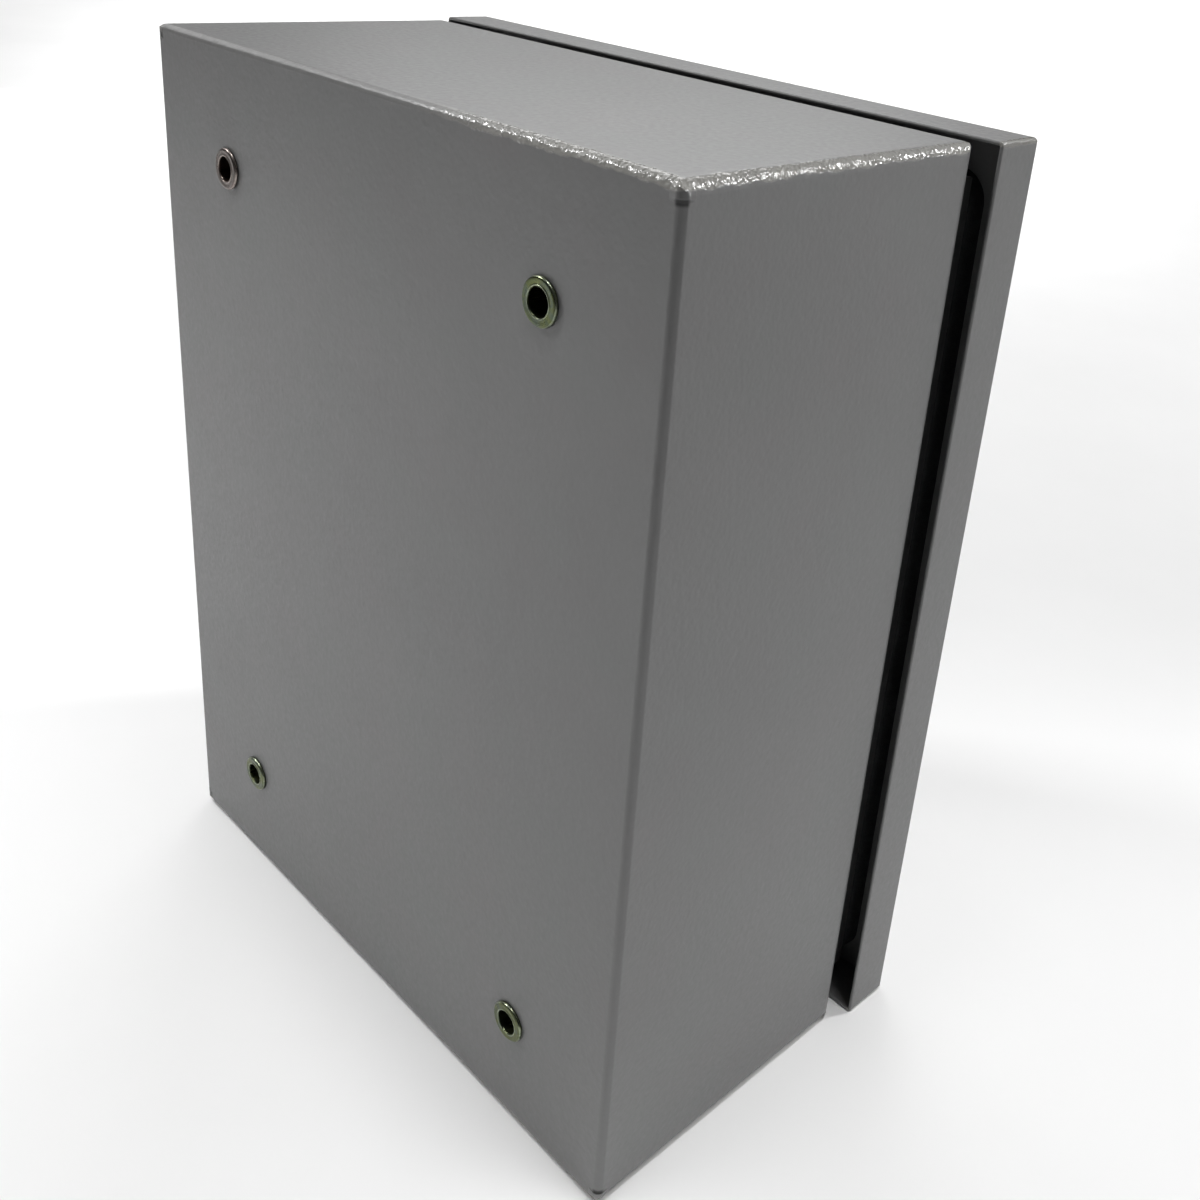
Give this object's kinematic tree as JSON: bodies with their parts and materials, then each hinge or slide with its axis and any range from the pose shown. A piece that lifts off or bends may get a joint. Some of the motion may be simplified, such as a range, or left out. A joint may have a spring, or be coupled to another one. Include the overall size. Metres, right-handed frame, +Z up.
{
  "type": "wall-mount switchboard cabinet",
  "caption": "Folded steel wall-mount switchboard cabinet with a hinged overlapping door, quarter-turn lock, mounting plate and flanged bushes in its rear wall.",
  "frame": {"origin": "centre of the four rear wall bushes, in the plane of their flange faces that meets the wall", "axes": "+Y out of the rear towards the wall, -Y towards the door and the user, +Z up, +X to the hinge side"},
  "size_m": [0.324, 0.1803, 0.401],
  "materials": {
    "powder_coat": "fine-textured grey powder coat, satin",
    "yellow_zinc": "yellow-passivated zinc plating, slightly iridescent",
    "galvanised": "hot-dip galvanised sheet",
    "zinc_plated": "clear zinc plating",
    "die_cast": "satin zinc die-casting",
    "rubber": "black foamed seal"
  },
  "bodies": {
    "cabinet": {"body_wrap": "powder_coat", "top_panel": "powder_coat", "bottom_panel": "powder_coat", "wall_bushes": "yellow_zinc", "mounting_plate": "galvanised", "plate_studs": "zinc_plated", "plate_washers": "zinc_plated", "plate_nuts": "zinc_plated", "gland_plate": "powder_coat", "gland_gasket": "rubber", "gland_studs": "zinc_plated", "gland_nuts": "zinc_plated", "body_earth_stud": "zinc_plated", "body_earth_washer": "zinc_plated", "body_earth_nut": "zinc_plated", "upper_hinge_body_leaf": "zinc_plated", "lower_hinge_body_leaf": "zinc_plated", "upper_hinge_pin": "zinc_plated", "lower_hinge_pin": "zinc_plated", "hinge_body_screws": "zinc_plated", "hinge_body_nuts": "zinc_plated"},
    "door": {"door_panel": "powder_coat", "door_gasket": "rubber", "door_studs": "zinc_plated", "upper_hinge_door_leaf": "zinc_plated", "lower_hinge_door_leaf": "zinc_plated", "hinge_door_nuts": "zinc_plated", "door_earth_washer": "zinc_plated", "door_earth_nut": "zinc_plated", "lock_housing": "die_cast", "lock_seal": "rubber", "lock_nut": "zinc_plated"},
    "lock": {"lock_rotor": "die_cast", "lock_cam": "zinc_plated", "cam_washer": "zinc_plated", "cam_screw": "zinc_plated"}
  },
  "joints": [
    {"name": "door_hinge", "type": "hinge", "parent": "cabinet", "child": "door", "pos_m": [0.1545, -0.1568, 0], "axis": [0, 0, 1], "range_deg": [0, 120]},
    {"name": "lock_turn", "type": "hinge", "parent": "door", "child": "lock", "pos_m": [-0.114, -0.1665, 0], "axis": [0, -1, 0], "range_deg": [0, 90]}
  ]
}
